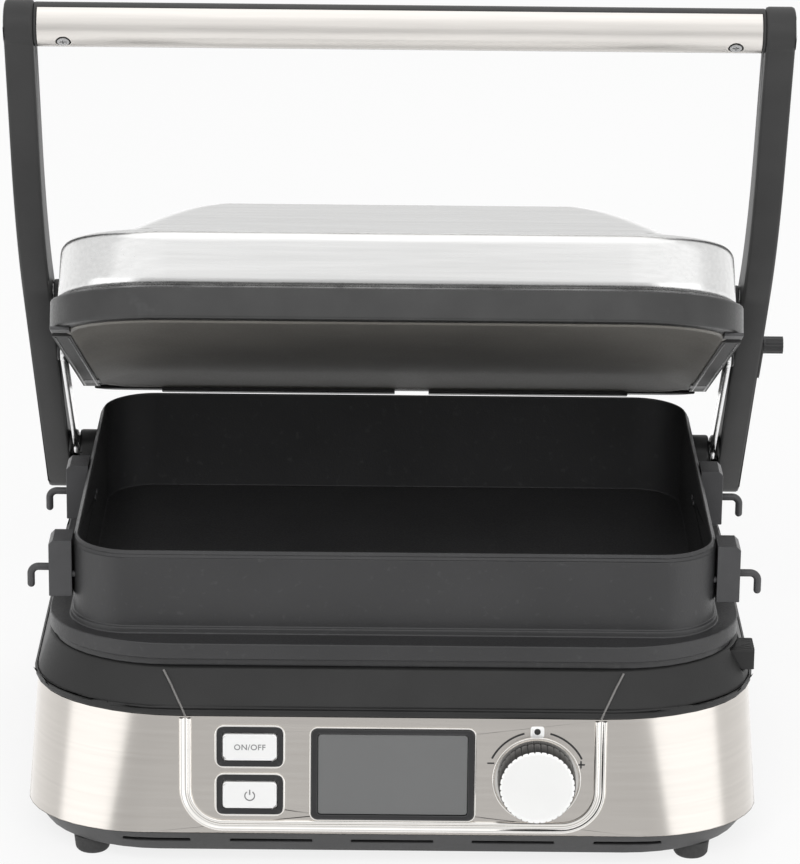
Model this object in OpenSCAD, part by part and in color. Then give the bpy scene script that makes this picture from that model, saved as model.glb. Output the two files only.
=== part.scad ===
// Electric indoor grill with a deep bake pan and a lid carried on two swinging arms.
// Millimetres. X to the right, Y to the back, Z up. The origin is on the table,
// under the middle of the base. The model stands with its lid raised.

/* [Base] */
// Width of the base at the upper edge of the steel wrap
base_w = 344; // [336:1:360]
// Depth of the base from front to back
base_d = 330; // [322:1:350]
// How far the steel wrap flares out at its lower edge
flare = 4; // [0:0.5:6]
// Height of the feet under the base
foot_h = 8.5; // [7:0.5:12]
// Diameter of a foot
foot_dia = 18; // [16:1:22]
// Height of the bottom shell's edge below the steel
shell_h = 11.5; // [9:0.5:14]
// Height of the steel wrap
wrap_h = 58; // [54:1:66]
// Thickness of the steel wrap
wrap_wall = 1.5; // [0.8:0.1:2]
// Height of the sloping upper housing
housing_h = 21.5; // [20:0.5:26]
// Wall of the moulded housings
shell_wall = 2.5; // [2:0.1:3.5]

/* [Controls] */
// Width of a push key
key_w = 25.5; // [20:0.5:28]
// Height of a push key
key_h = 13; // [9:0.5:14]
// Travel of a push key
key_travel = 1.2; // [0.6:0.1:1.6]
// Distance of the keys' centre from the middle of the panel
key_x = 67.5; // [60:0.5:70]
// Height of the upper key above the middle of the panel
upper_key_y = 14.3; // [12.5:0.5:16]
// Height of the lower key below the middle of the panel
lower_key_y = 9.4; // [9:0.2:12]
// Width of the display window
screen_w = 71; // [60:1:76]
// Height of the display window
screen_h = 40; // [30:1:41]
// Diameter of the dial
dial_dia = 37; // [30:1:40]
// How far the dial stands out of the panel
dial_len = 14; // [10:1:18]
// Distance of the dial from the middle of the panel
dial_x = 68; // [66:0.5:70]

/* [Bake pan] */
// Distance of the pan's side wall from the base's side
pan_inset = 18.5; // [17:0.5:22]
// Outer depth of the pan's wall
pan_d = 251; // [240:1:254]
// Height of the pan's rim above the housing's deck
pan_h = 52.5; // [46:0.5:60]
// Wall of the pan
pan_wall = 3; // [2.5:0.1:4]
// Corner radius of the pan's wall
pan_r = 28; // [20:1:36]
// Distance from the base's front to the pan's wall
pan_setback = 22; // [20:1:24]
// Width of the pan's flange outside the wall
flange_w = 12; // [10:0.5:13]
// Height of the flange's band
flange_h = 8; // [6:0.5:10]
// Diameter of a hook's rod
hook_dia = 3.6; // [3:0.1:4.2]

/* [Arms and handle] */
// How far the arms stand out over the base on each side
arms_over = 14; // [13.5:0.5:16]
// Thickness of an arm
arm_t = 14; // [13:0.5:14]
// Width of an arm at its lower end
arm_low_w = 25; // [22:0.5:27]
// Width of an arm above its bend
arm_up_w = 20; // [18:0.5:22]
// Length of an arm from the hinge to the bend
arm_low = 238; // [230:1:245]
// Length of an arm from the bend to the handle
arm_up = 120; // [105:1:130]
// Angle of the bend
arm_bend = 22; // [16:1:28]
// Angle of the arms' lower part above the horizontal, with the lid raised
lift = 47; // [45:0.5:49]
// Diameter of the handle bar
bar_dia = 21; // [18:0.5:22]
// Height of the hinge axis above the table
hinge_z = 101; // [100:0.5:103]
// Distance of the hinge axis from the base's back
hinge_inset = 24; // [22:0.5:30]
// Diameter of the arms' hinge pins
hinge_pin_dia = 8; // [6:0.5:9]

/* [Lid] */
// How far the lid's rim band stays in from the base's side
lid_inset = 6; // [6:0.5:9]
// Depth of the lid over its rim band
lid_d = 290; // [280:1:296]
// Height of the lid's rim band
band_h = 15; // [12:0.5:16]
// Height of the steel cover's walls above the band
cover_h = 29; // [26:0.5:31]
// Height of the raised top above the walls
crown_h = 17.5; // [14:0.5:20]
// Thickness of the steel cover
cover_wall = 0.8; // [0.6:0.1:1.5]
// Tilt of the raised lid, front edge up
lid_tilt = 23.8; // [22:0.2:25]
// Distance along an arm from the hinge to the lid's pivot
lid_reach = 181; // [178:0.5:184]
// Distance from the lid's front edge to its pivot
pivot_back = 149; // [145:1:153]
// Height of the pivot above the lid's lower edge
pivot_up = 33; // [30:0.5:34]
// Diameter of the lid's pivot pins
lid_pin_dia = 7; // [5:0.5:8]

/* [Links] */
// Distance from the lid's front edge to the link studs
stud_back = 165; // [162:1:168]
// Height of the link studs above the lid's lower edge
stud_up = 4; // [3.5:0.5:6]
// Diameter of the link studs
stud_dia = 5; // [4:0.5:5.5]
// Thickness of a link
link_t = 2.5; // [2:0.1:2.6]
// Width of a link
link_w = 9; // [8:0.5:10]
// Distance from the hinge axis forward to the links' lower pin
link_pin_fwd = 38; // [36:0.5:40]
// Height of the links' lower pin above the hinge axis
link_pin_up = 22; // [21:0.5:23]
// Diameter of the links' lower pin
link_pin_dia = 4; // [3:0.5:4]

/* [Fits] */
// Radial clearance of a pin in its bore
run_gap = 0.05; // [0.02:0.01:0.1]
// Clearance beside parts that slide or swing past each other
side_gap = 0.5; // [0.3:0.1:0.6]
// Clearance between a moulded part and the pocket that it sits in
seat_gap = 0.2; // [0.1:0.05:0.3]

/* [Hidden] */

fine = 96;
hull_fine = 32;
eps = 0.01;

// Colours of the real finishes
black = [0.09, 0.09, 0.095];
dark = [0.2, 0.2, 0.21];
steel = [0.8, 0.79, 0.77];
silver = [0.86, 0.86, 0.86];
rubber = [0.05, 0.05, 0.05];
board = [0.1, 0.32, 0.18];
tube_grey = [0.35, 0.34, 0.33];

// Levels and faces of the base
shell_z = foot_h;
wrap_z = shell_z + shell_h;
housing_z = wrap_z + wrap_h;
deck_z = housing_z + housing_h;
front_y = -base_d / 2;
back_y = base_d / 2;
lip_h = 4;
lip_out = 1;
deck_in = 6;
deck_w = base_w - 2 * deck_in;
deck_d = base_d - 2 * 8;
lean = atan(flare / wrap_h);
panel_z = wrap_z + wrap_h / 2;
// Depth behind the outer face of the panel where the circuit board stands
board_back = 12;
board_t = 1.6;
board_w = 190;
board_h = 46;
board_hole_x = 90;
board_hole_y = 18;
board_hole_r = 1.8;

// Corners of the plan outlines: front across, front along, back radius
base_corner = [72, 60, 26];
// The lower edge has tighter corners
low_corner = [58, 50, 24];
lid_corner = [58, 58, 22];
flange_corner = [60, 50, 40];

// Pan
pan_w = base_w - 2 * pan_inset;
pan_front = front_y + pan_setback;
pan_mid = pan_front + pan_d / 2;
pan_rim_z = deck_z + pan_h;
pan_drop = 2.5;
pan_base = 1.6;
flange_z = deck_z + 4;
pan_floor_z = deck_z - pan_drop;
foot_ring_in = 12;
flange_d = pan_d + 29;
pan_edge = 3;
pan_edge_in = 1.5;
well_r = pan_r + 10;
bracket_t = 1.6;
bracket_out = 11;
bracket_len = 17;
bracket_drop = 28;
bracket_y = [pan_front + 26, pan_front + 138];

// Well under the pan
well_w = pan_w - 2;
well_front = front_y + 17;
well_back = pan_front + pan_d - 4;

// Arms: inner and outer faces, hinge axis and the lid's pivot
arm_out = base_w / 2 + arms_over;
arm_in = arm_out - arm_t;
hinge_y = back_y - hinge_inset;
bend_r = 250;
bend_t = bend_r * tan(arm_bend / 2);
bar_r = bar_dia / 2;
cap_r = bar_r + 1;
pivot_y = hinge_y - lid_reach * cos(lift);
pivot_z = hinge_z + lid_reach * sin(lift);
handle_p = -arm_low - arm_up * cos(arm_bend);
handle_q = arm_up * sin(arm_bend);
hinge_pin_r = hinge_pin_dia / 2;
lid_pin_r = lid_pin_dia / 2;

// Height adjuster on the right arm
adjuster_at = 133;
adjuster_dia = 9;
adjuster_out = 12;
adjuster_travel = 12;
adjuster_slot_w = 5;
adjuster_stem_r = 2;
adjuster_plate_l = 28;
adjuster_plate_w = 14;
adjuster_plate_t = 1.6;

// Links and the towers that carry their lower pins
lid_w = base_w - 2 * lid_inset;
link_in = lid_w / 2 + side_gap;
link_out = link_in + link_t;
link_y = hinge_y - link_pin_fwd;
link_z = hinge_z + link_pin_up;
tower_out = arm_in - side_gap;
tower_in = tower_out - 17;
tower_front = link_y - 9;
tower_back = hinge_y + 12;
tower_z = housing_z + lip_h;
tower_top_r = 9;
tower_slot_z = link_z - 27;
stud_r = stud_dia / 2;
link_pin_r = link_pin_dia / 2;
stud_dy = stud_back - pivot_back;
stud_dz = stud_up - pivot_up;
stud_y = pivot_y + stud_dy * cos(lid_tilt) + stud_dz * sin(lid_tilt);
stud_z = pivot_z - stud_dy * sin(lid_tilt) + stud_dz * cos(lid_tilt);
link_len = norm([link_y - stud_y, link_z - stud_z]);
link_angle = atan2(stud_z - link_z, link_y - stud_y);
// The lower eye is a slot: the lid floats, and its link slides a little on the pin
slot_fore = 10.5;
slot_aft = 3.5;
slot_r = link_pin_r + 2.1;
link_eye_r = slot_r + 2.4;

// Lid
cover_w = lid_w - 7;
cover_d = lid_d - 10;
cover_front = 5;
cover_z = band_h;
cover_top = cover_z + cover_h;
cover_lean = 1;
// Raised top: how far it stays in from the cover's sides, front and back, low and high
crown_base_in = 35;
crown_top_in = 70;
crown_w = cover_w - 2 * crown_base_in;
crown_front = cover_front + 6;
crown_back = cover_front + cover_d - 20;
crown_d = crown_back - crown_front;
crown_slope_front = 34;
crown_slope_back = 30;
crown_top_d = crown_d - crown_slope_front - crown_slope_back;
crown_corner = 10;
plate_in = 9;
boss_dia = 11;

// Drip tray behind the heating well
tray_w = 190;
tray_d = 150;
tray_h = 18;
tray_z = wrap_z + 4;
tray_wall = 1.8;
tray_face_t = 3;

// Release button on the right side of the housing
release_y = front_y + 52;
release_z = housing_z + 14;
release_travel = 3;
release_w = 18;
release_hh = 10;

// A plan outline is w across and d along. Its corners are ellipses: those in front
// measure corner[0] by corner[1], and those behind are round, of radius corner[2].
function corner_points(w, d, cx, cy, n, from) =
    [for (i = [0:n]) let (a = from + 90 * i / n) [
        sign(cos(from + 45)) * (w / 2 - cx) + cx * cos(a),
        sign(sin(from + 45)) * (d / 2 - cy) + cy * sin(a)
    ]];
function plan_points(w, d, corner, n = 10) = concat(
    corner_points(w, d, corner[2], corner[2], n, 0),
    corner_points(w, d, corner[2], corner[2], n, 90),
    corner_points(w, d, corner[0], corner[1], n, 180),
    corner_points(w, d, corner[0], corner[1], n, 270)
);
// The same corners, drawn in by a wall
function inset(corner, by) = [corner[0] - by, corner[1] - by, corner[2] - by];

module plan(w, d, corner) {
    polygon(plan_points(w, d, corner));
}

// Slab of a plan outline, standing on z
module slab(w, d, corner, z, h) {
    translate([0, 0, z])
        linear_extrude(height = h)
            plan(w, d, corner);
}

// Solid between two slabs' outlines, from z0 to z1; low gives the lower one its own corners
module tapered(w0, d0, z0, w1, d1, z1, corner, low = undef) {
    hull() {
        slab(w0, d0, low == undef ? corner : low, z0, eps);
        slab(w1, d1, corner, z1 - eps, eps);
    }
}

// Rectangle with round corners, centred
module round_rect(w, h, r, sides = fine) {
    square([w - 2 * r, h], center = true);
    square([w, h - 2 * r], center = true);
    for (sx = [-1, 1], sy = [-1, 1])
        translate([sx * (w / 2 - r), sy * (h / 2 - r)])
            circle(r, $fn = sides);
}

module round_block(w, d, r, h) {
    linear_extrude(height = h)
        round_rect(w, d, r);
}

// Box given by its lowest and highest corners
module span_box(lo, hi) {
    translate(lo)
        cube(hi - lo);
}

// Cylinder along X from x0 to x1
module rod_x(x0, x1, y, z, r) {
    translate([x0, y, z])
        rotate([0, 90, 0])
            cylinder(r = r, h = x1 - x0, $fn = fine);
}

// Outline in the YZ plane, extruded along X from x0 to x1
module side_extrude(x0, x1) {
    translate([x0, 0, 0])
        rotate([90, 0, 90])
            linear_extrude(height = x1 - x0)
                children();
}

// Frame of the control panel: x right, y up the face, z out of it
module on_panel() {
    translate([0, front_y - flare / 2, panel_z])
        rotate([90 - lean, 0, 0])
            children();
}

// Frame of the arms: the hinge at the origin, the lower arm along -Y
module on_arm() {
    translate([0, hinge_y, hinge_z])
        rotate([-lift, 0, 0])
            children();
}

// Frame of the lid: y from its front edge, z from its lower edge
module on_lid() {
    translate([0, pivot_y, pivot_z])
        rotate([-lid_tilt, 0, 0])
            translate([0, -pivot_back, -pivot_up])
                children();
}

// ---------------------------------------------------------------- base shells

module bottom_shell() {
    vent_h = 1.8;
    tuck_w = 8;
    tuck_d = 6;
    // Middle and length of each slot in the front edge
    vents = [[-112, 32], [-57.5, 39], [0, 39], [57.5, 39], [112, 32]];
    color(dark)
        difference() {
            union() {
                difference() {
                    tapered(base_w - tuck_w, base_d - tuck_d, shell_z,
                        base_w + 2 * flare - 3, base_d + 2 * flare - 3, wrap_z, low_corner);
                    slab(base_w - 2 * shell_wall - 6, base_d - 2 * shell_wall - 6,
                        inset(low_corner, shell_wall), shell_z + shell_wall, shell_h);
                }
                for (sx = [-1, 1], sy = [-1, 1])
                    translate([sx * foot_x(), sy * foot_y(), shell_z])
                        cylinder(d = foot_dia - 2, h = shell_h - 1, $fn = fine);
            }
            for (v = vents)
                translate([v[0], 0, shell_z + shell_h / 2 + 0.5])
                    span_box([-v[1] / 2, front_y - 20, -vent_h / 2], [v[1] / 2, front_y + 16, vent_h / 2]);
            for (i = [-4:4])
                translate([i * 16, 40, shell_z - 1])
                    linear_extrude(height = shell_wall + 2)
                        round_rect(5, 60, 2.4);
            for (sx = [-1, 1], sy = [-1, 1])
                translate([sx * foot_x(), sy * foot_y(), shell_z - 1])
                    cylinder(r = screw_r + seat_gap, h = shell_h + 2, $fn = fine);
        }
}

screw_r = 2;
head_r = 3.6;
head_h = 1.8;
// Recess under each foot, below the screw's head
socket_r = 4.2;
socket_h = 4;
function foot_x() = base_w / 2 - 28;
function foot_y() = base_d / 2 - 23;

module feet() {
    color(rubber)
        for (sx = [-1, 1], sy = [-1, 1])
            translate([sx * foot_x(), sy * foot_y(), 0])
                difference() {
                    rotate_extrude($fn = fine)
                        polygon([
                            [0, 0], [foot_dia / 2 - 2, 0], [foot_dia / 2 - 0.8, 1.5],
                            [foot_dia / 2, foot_h], [0, foot_h]
                        ]);
                    translate([0, 0, 5])
                        cylinder(r = screw_r + seat_gap, h = foot_h, $fn = fine);
                    translate([0, 0, 3])
                        cylinder(r = head_r + seat_gap, h = 3, $fn = fine);
                    translate([0, 0, -1])
                        cylinder(r = socket_r, h = socket_h + 1, $fn = fine);
                }
}

module foot_screws() {
    color(silver)
        for (sx = [-1, 1], sy = [-1, 1])
            translate([sx * foot_x(), sy * foot_y(), socket_h + 0.1])
                difference() {
                    union() {
                        cylinder(r = head_r, h = head_h, $fn = fine);
                        cylinder(r = screw_r, h = foot_h, $fn = fine);
                    }
                    for (a = [0, 90])
                        rotate([0, 0, a])
                            translate([-1.6, -0.35, -1])
                                cube([3.2, 0.7, 2]);
                }
}

module steel_wrap() {
    color(steel)
        difference() {
            union() {
                difference() {
                    tapered(base_w + 2 * flare, base_d + 2 * flare, wrap_z,
                        base_w, base_d, housing_z, base_corner, low_corner);
                    tapered(base_w + 2 * flare - 2 * wrap_wall,
                        base_d + 2 * flare - 2 * wrap_wall, wrap_z - eps,
                        base_w - 2 * wrap_wall, base_d - 2 * wrap_wall, housing_z + eps,
                        inset(base_corner, wrap_wall), inset(low_corner, wrap_wall));
                }
                on_panel()
                    board_studs();
            }
            on_panel() {
                panel_hole(0, 1, screen_w + 1, screen_h + 1, 3);
                panel_hole(-key_x, upper_key_y, key_w + 2 * side_gap, key_h + 2 * side_gap, 2);
                panel_hole(-key_x, -lower_key_y, key_w + 2 * side_gap, key_h + 2 * side_gap, 2);
                translate([dial_x, -1, -6])
                    cylinder(r = 5, h = 12, $fn = fine);
            }
            tray_mouth();
            translate([gland_x, back_y + flare + 5, gland_z])
                rotate([90, 0, 0])
                    cylinder(r = gland_r + seat_gap, h = 14, $fn = fine);
        }
}

// Shouldered studs inside the front that carry the circuit board
module board_studs() {
    for (sx = [-1, 1], sy = [-1, 1])
        translate([sx * board_hole_x, sy * board_hole_y, 0]) {
            translate([0, 0, -board_back])
                cylinder(r = board_hole_r + 1.4, h = board_back - wrap_wall / 2, $fn = fine);
            translate([0, 0, -board_back - board_t - 1])
                cylinder(r = board_hole_r - seat_gap, h = board_t + 1 + eps, $fn = fine);
        }
}

module panel_hole(x, y, w, h, r) {
    translate([x, y, -6])
        round_block(w, h, r, 12);
}

module tray_mouth() {
    span_box(
        [-tray_w / 2 - 6, back_y - 8, tray_z - 2],
        [tray_w / 2 + 6, back_y + 12, tray_z + tray_h + 2]
    );
}

module upper_housing() {
    color(black)
        difference() {
            union() {
                slab(base_w + 2 * lip_out, base_d + 2 * lip_out, base_corner, housing_z, lip_h);
                tapered(base_w, base_d, housing_z + lip_h, deck_w, deck_d, deck_z,
                    inset(base_corner, 4));
            }
            difference() {
                tapered(base_w - 2 * shell_wall, base_d - 2 * shell_wall, housing_z - eps,
                    deck_w - 2 * shell_wall - 3, deck_d - 2 * shell_wall - 3,
                    deck_z - shell_wall, inset(base_corner, 8));
                for (side = [-1, 1])
                    tower_pad(side);
            }
            translate([0, (well_front + well_back) / 2, housing_z])
                round_block(well_w, well_back - well_front, well_r, housing_h + 1);
            for (side = [-1, 1])
                tower_pocket(side);
            translate([0, release_y, release_z])
                span_box([deck_w / 2 - 12, -release_w / 2 - side_gap, -release_hh / 2 - side_gap],
                    [base_w, release_w / 2 + side_gap, release_hh / 2 + side_gap]);
        }
}

// Notch in the housing's edge that a hinge tower stands in
module tower_pocket(side) {
    x0 = side > 0 ? tower_in - seat_gap : -base_w;
    x1 = side > 0 ? base_w : -tower_in + seat_gap;
    span_box([x0, tower_front - seat_gap, tower_z], [x1, tower_back + seat_gap, deck_z + 9]);
}

// Solid ledge inside the housing under a hinge tower
module tower_pad(side) {
    x0 = side > 0 ? tower_in - 4 : -base_w;
    x1 = side > 0 ? base_w : -tower_in + 4;
    span_box([x0, tower_front - 4, housing_z - 1], [x1, tower_back + 4, tower_z]);
}

// ------------------------------------------------------------------ controls

bead_w = 6;
bead_x = 98;
bead_y = 25;
bead_r = 18;
bead_t = 1.2;

module bead_outline(grow) {
    w = 2 * bead_x + 2 * grow;
    r = bead_r + grow;
    low = -bead_y - grow;
    top = wrap_h / 2 - 1;
    translate([-w / 2, low + r])
        square([w, top - low - r]);
    translate([-w / 2 + r, low])
        square([w - 2 * r, r + 1]);
    for (sx = [-1, 1])
        translate([sx * (w / 2 - r), low + r])
            circle(r, $fn = fine);
}

// Raised double line that frames the control panel, open at the top
module control_bead() {
    color(silver)
        on_panel()
            difference() {
                linear_extrude(height = bead_t)
                    difference() {
                        bead_outline(bead_w / 2);
                        bead_outline(-bead_w / 2);
                    }
                translate([0, 0, bead_t / 2])
                    linear_extrude(height = bead_t)
                        difference() {
                            bead_outline(0.9);
                            bead_outline(-0.9);
                        }
            }
}

module key_frames() {
    color(black)
        on_panel()
            for (y = [upper_key_y, -lower_key_y])
                translate([-key_x, y, 0])
                    difference() {
                        round_block(key_w + 5.6, key_h + 6.4, 2.4, 1);
                        translate([0, 0, -1])
                            round_block(key_w + 2 * side_gap, key_h + 2 * side_gap, 2, 3);
                    }
}

module key_cap(y) {
    color(silver)
        on_panel()
            translate([-key_x, y, 0]) {
                translate([0, 0, -wrap_wall - 1])
                    round_block(key_w, key_h, 1.8, wrap_wall + 3);
                translate([0, 0, -wrap_wall - 2.2])
                    round_block(key_w + 3, key_h + 3, 2, 1.2);
                translate([0, 0, -board_back + switch_h + key_travel + 0.2])
                    cylinder(r = 2, h = board_back - switch_h - key_travel - 0.2 - wrap_wall - 2,
                        $fn = fine);
            }
}

switch_h = 4;

module upper_key() {
    key_cap(upper_key_y);
}

module power_key() {
    key_cap(-lower_key_y);
}

module display_bezel() {
    color(black)
        on_panel()
            translate([0, 1, 0])
                difference() {
                    round_block(screen_w + 6, screen_h + 5, 3, 1.4);
                    translate([0, 0, -1])
                        round_block(screen_w, screen_h, 1.6, 4);
                }
}

module display_window() {
    color([0.5, 0.51, 0.5])
        on_panel()
            translate([0, 1, -0.6])
                round_block(screen_w - 0.4, screen_h - 0.4, 1.4, 1.2);
}

module display_module() {
    color(dark)
        on_panel()
            translate([0, 1, -board_back])
                round_block(screen_w - 4, screen_h - 4, 1, board_back - 1);
}

module dial_collar() {
    color(dark)
        on_panel()
            translate([dial_x, -1, 0])
                difference() {
                    cylinder(r = dial_dia / 2 + 1.2, h = 1.2, $fn = fine);
                    translate([0, 0, -1])
                        cylinder(r = 5, h = 4, $fn = fine);
                }
}

shaft_r = 3;
encoder_top = 3;

module encoder_body() {
    color(dark)
        on_panel()
            translate([dial_x, -1, -board_back])
                difference() {
                    union() {
                        translate([0, 0, 3])
                            cube([14, 14, 6], center = true);
                        cylinder(r = 4.6, h = board_back + encoder_top, $fn = fine);
                    }
                    translate([0, 0, 1])
                        cylinder(r = shaft_r + run_gap, h = board_back + encoder_top + 1, $fn = fine);
                }
}

module dial_shaft() {
    color(silver)
        on_panel()
            translate([dial_x, -1, -board_back + 1.4])
                cylinder(r = shaft_r, h = board_back - 1.4 + dial_len - 3, $fn = fine);
}

module dial_knob() {
    grip_n = 36;
    grip_r = 0.7;
    color(silver)
        on_panel()
            translate([dial_x, -1, 1.2 + 0.4])
                difference() {
                    rotate_extrude($fn = fine)
                        polygon([
                            [0, 4], [dial_dia / 2 - 3.5, 4], [dial_dia / 2 - 3.5, 0],
                            [dial_dia / 2, 0], [dial_dia / 2 - 0.8, dial_len - 3],
                            [dial_dia / 2 - 2.4, dial_len - 1.6], [0, dial_len - 1.6]
                        ]);
                    for (i = [0:grip_n - 1])
                        rotate([0, 0, i * 360 / grip_n])
                            translate([dial_dia / 2 + 0.1, 0, 1.5])
                                cylinder(r = grip_r, h = dial_len, $fn = 24);
                    translate([0, 0, -1])
                        cylinder(r = shaft_r, h = dial_len - 4.6 + 1, $fn = fine);
                }
}

module control_board() {
    color(board)
        on_panel()
            difference() {
                translate([0, 0, -board_back - board_t])
                    round_block(board_w, board_h, 2, board_t);
                for (sx = [-1, 1], sy = [-1, 1])
                    translate([sx * board_hole_x, sy * board_hole_y, -board_back - board_t - 1])
                        cylinder(r = board_hole_r, h = board_t + 2, $fn = fine);
            }
}

module key_switches() {
    color(black)
        on_panel()
            for (y = [upper_key_y, -lower_key_y])
                translate([-key_x, y, -board_back]) {
                    translate([0, 0, (switch_h - 1) / 2])
                        cube([6, 6, switch_h - 1], center = true);
                    cylinder(r = 1.7, h = switch_h, $fn = fine);
                }
}

module power_board() {
    board_z = shell_z + shell_wall;
    part_z = board_z + board_t;
    color(board)
        translate([base_w / 2 - 47, front_y + 55, 0]) {
            span_box([-65, 0, board_z], [0, 90, part_z]);
            for (y = [10, 40, 68])
                span_box([-50, y, part_z], [-25, y + 16, part_z + 14]);
        }
}

gland_x = -128;
gland_z = 45;
gland_r = 9;

// Bush in the back wall where a mains lead would enter
module cord_gland() {
    flange_r = gland_r + 2.5;
    color(black)
        translate([gland_x, back_y + flare * (housing_z - gland_z) / wrap_h, gland_z])
            difference() {
                union() {
                    difference() {
                        rotate([90, 0, 0])
                            translate([0, 0, -4])
                                cylinder(r = flange_r, h = 6, $fn = fine);
                        // The flange's face follows the sloping wall
                        rotate([lean, 0, 0])
                            translate([-flange_r - 1, -10 + eps, -flange_r - 2])
                                cube([2 * flange_r + 2, 10, 2 * flange_r + 4]);
                    }
                    rotate([90, 0, 0])
                        translate([0, 0, -2])
                            cylinder(r = gland_r, h = 11, $fn = fine);
                }
                rotate([90, 0, 0])
                    translate([0, 0, -5])
                        cylinder(r = 3.8, h = 15, $fn = fine);
            }
}

// ------------------------------------------------------------- heating well

reflector_wall = 0.8;
reflector_drop = 18;
reflector_z = deck_z - shell_wall - reflector_drop;
thermostat_h = 10.5;
heater_r = 3.2;
heater_bend = 22;
heater_w = 230;
heater_z = deck_z - 11;
post_r = 4;

// Dish under the pan, hung by its rim from the deck
module lower_reflector() {
    mid = (well_front + well_back) / 2;
    w = well_w - 1;
    d = well_back - well_front - 1;
    color(silver)
        difference() {
            union() {
                translate([0, mid, reflector_z])
                    difference() {
                        union() {
                            round_block(w, d, well_r - 1, reflector_drop);
                            translate([0, 0, reflector_drop - reflector_wall])
                                round_block(w + 6, d + 6, well_r + 14, reflector_wall);
                        }
                        translate([0, 0, reflector_wall])
                            round_block(w - 2 * reflector_wall, d - 2 * reflector_wall,
                                well_r - 1 - reflector_wall, reflector_drop);
                    }
                translate([0, pan_mid, reflector_z])
                    heater_posts(heater_w, lower_heater_d, heater_z - reflector_z);
            }
            translate([0, pan_mid, heater_z])
                heater(heater_w, lower_heater_d, lower_heater_tail, heater_r);
        }
}

lower_heater_d = 170;
lower_heater_tail = 46;

// Posts under the middle of each side of a heater, up to the tube's axis
module heater_posts(w, d, h) {
    for (p = [[-w / 2, 0], [w / 2, 0], [0, -d / 2]])
        translate([p[0], p[1], 0])
            cylinder(r = post_r, h = h, $fn = fine);
}

// Ends and turns of the heater's tube, in order
function heater_route(w, d, tail) = [
    [-24, d / 2 + tail], [-24, d / 2], [-w / 2, d / 2], [-w / 2, -d / 2],
    [w / 2, -d / 2], [w / 2, d / 2], [24, d / 2], [24, d / 2 + tail]
];

// A heating tube bent from one rod, with both ends leaving at the back
module heater(w, d, tail, r) {
    route = heater_route(w, d, tail);
    last = len(route) - 1;
    for (i = [0:last - 1]) {
        run = route[i + 1] - route[i];
        way = run / norm(run);
        start = route[i] + (i > 0 ? heater_bend : 0) * way;
        stop = route[i + 1] - (i < last - 1 ? heater_bend : 0) * way;
        if (norm(stop - start) > eps)
            translate(start)
                rotate([0, 0, atan2(way[1], way[0])])
                    rotate([0, 90, 0])
                        cylinder(r = r, h = norm(stop - start), $fn = 32);
    }
    for (i = [1:last - 1]) {
        into = (route[i] - route[i - 1]) / norm(route[i] - route[i - 1]);
        out = (route[i + 1] - route[i]) / norm(route[i + 1] - route[i]);
        turn = sign(into[0] * out[1] - into[1] * out[0]);
        middle = route[i] + heater_bend * (out - into);
        from = atan2(-out[1], -out[0]);
        translate(middle)
            rotate([0, 0, turn > 0 ? from : from - 90])
                rotate_extrude(angle = 90, $fn = fine)
                    translate([heater_bend, 0])
                        circle(r, $fn = 32);
    }
}

module lower_element() {
    color(tube_grey)
        translate([0, pan_mid, heater_z])
            heater(heater_w, lower_heater_d, lower_heater_tail, heater_r);
}

module lower_thermostat() {
    color(silver)
        translate([0, pan_mid, reflector_z + reflector_wall]) {
            cylinder(r = 12, h = 4, $fn = fine);
            cylinder(r = 8, h = thermostat_h, $fn = fine);
        }
}

// ---------------------------------------------------- hinge towers and pins

module hinge_tower(side) {
    color(black)
        mirror([side > 0 ? 0 : 1, 0, 0])
            difference() {
                side_extrude(tower_in, tower_out)
                    difference() {
                        union() {
                            translate([link_y, link_z])
                                circle(tower_top_r, $fn = fine);
                            translate([hinge_y, hinge_z])
                                circle(12, $fn = fine);
                            polygon([
                                [tower_front, tower_z], [tower_front, link_z],
                                [link_y + 4, link_z + 8], [hinge_y + 6, hinge_z + 10.4],
                                [tower_back, hinge_z], [tower_back, tower_z]
                            ]);
                        }
                        translate([link_y, tower_z - 30])
                            square([60, 30]);
                    }
                // Slot that the link works in
                side_extrude(link_in - side_gap, link_out + side_gap)
                    polygon([
                        [tower_front - 20, tower_slot_z], [tower_front - 20, link_z + 40],
                        [link_y + 20, link_z + 40], [link_y + 24, link_z - 6],
                        [link_y + 10, tower_slot_z]
                    ]);
                rod_x(tower_in + 3, tower_out + 1, hinge_y, hinge_z, hinge_pin_r);
                rod_x(tower_in + 3, tower_out - 0.6, link_y, link_z, link_pin_r);
            }
}

module left_hinge_tower() {
    hinge_tower(-1);
}

module right_hinge_tower() {
    hinge_tower(1);
}

module hinge_pins() {
    color(silver)
        for (side = [0, 1])
            mirror([side, 0, 0]) {
                rod_x(tower_in + 3, arm_out - 4 - seat_gap, hinge_y, hinge_z, hinge_pin_r);
                rod_x(arm_out - 4 + seat_gap, arm_out - 1.5, hinge_y, hinge_z, hinge_pin_r + 2);
                rod_x(arm_out - 4 - seat_gap, arm_out - 4 + seat_gap + eps, hinge_y, hinge_z, hinge_pin_r);
            }
}

module link_pins() {
    color(silver)
        for (side = [0, 1])
            mirror([side, 0, 0])
                rod_x(tower_in + 3, tower_out - 0.6, link_y, link_z, link_pin_r);
}

module release_button() {
    color(black)
        difference() {
            span_box(
                [deck_w / 2 - 8, release_y - release_w / 2, release_z - release_hh / 2],
                [base_w / 2 + lip_out, release_y + release_w / 2, release_z + release_hh / 2]
            );
            for (i = [-2:2])
                span_box(
                    [base_w / 2 + lip_out - 0.5, release_y + i * 3 - 0.5, release_z - release_hh / 2 - 1],
                    [base_w / 2 + lip_out + 1, release_y + i * 3 + 0.5, release_z + release_hh / 2 + 1]
                );
        }
}

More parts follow.
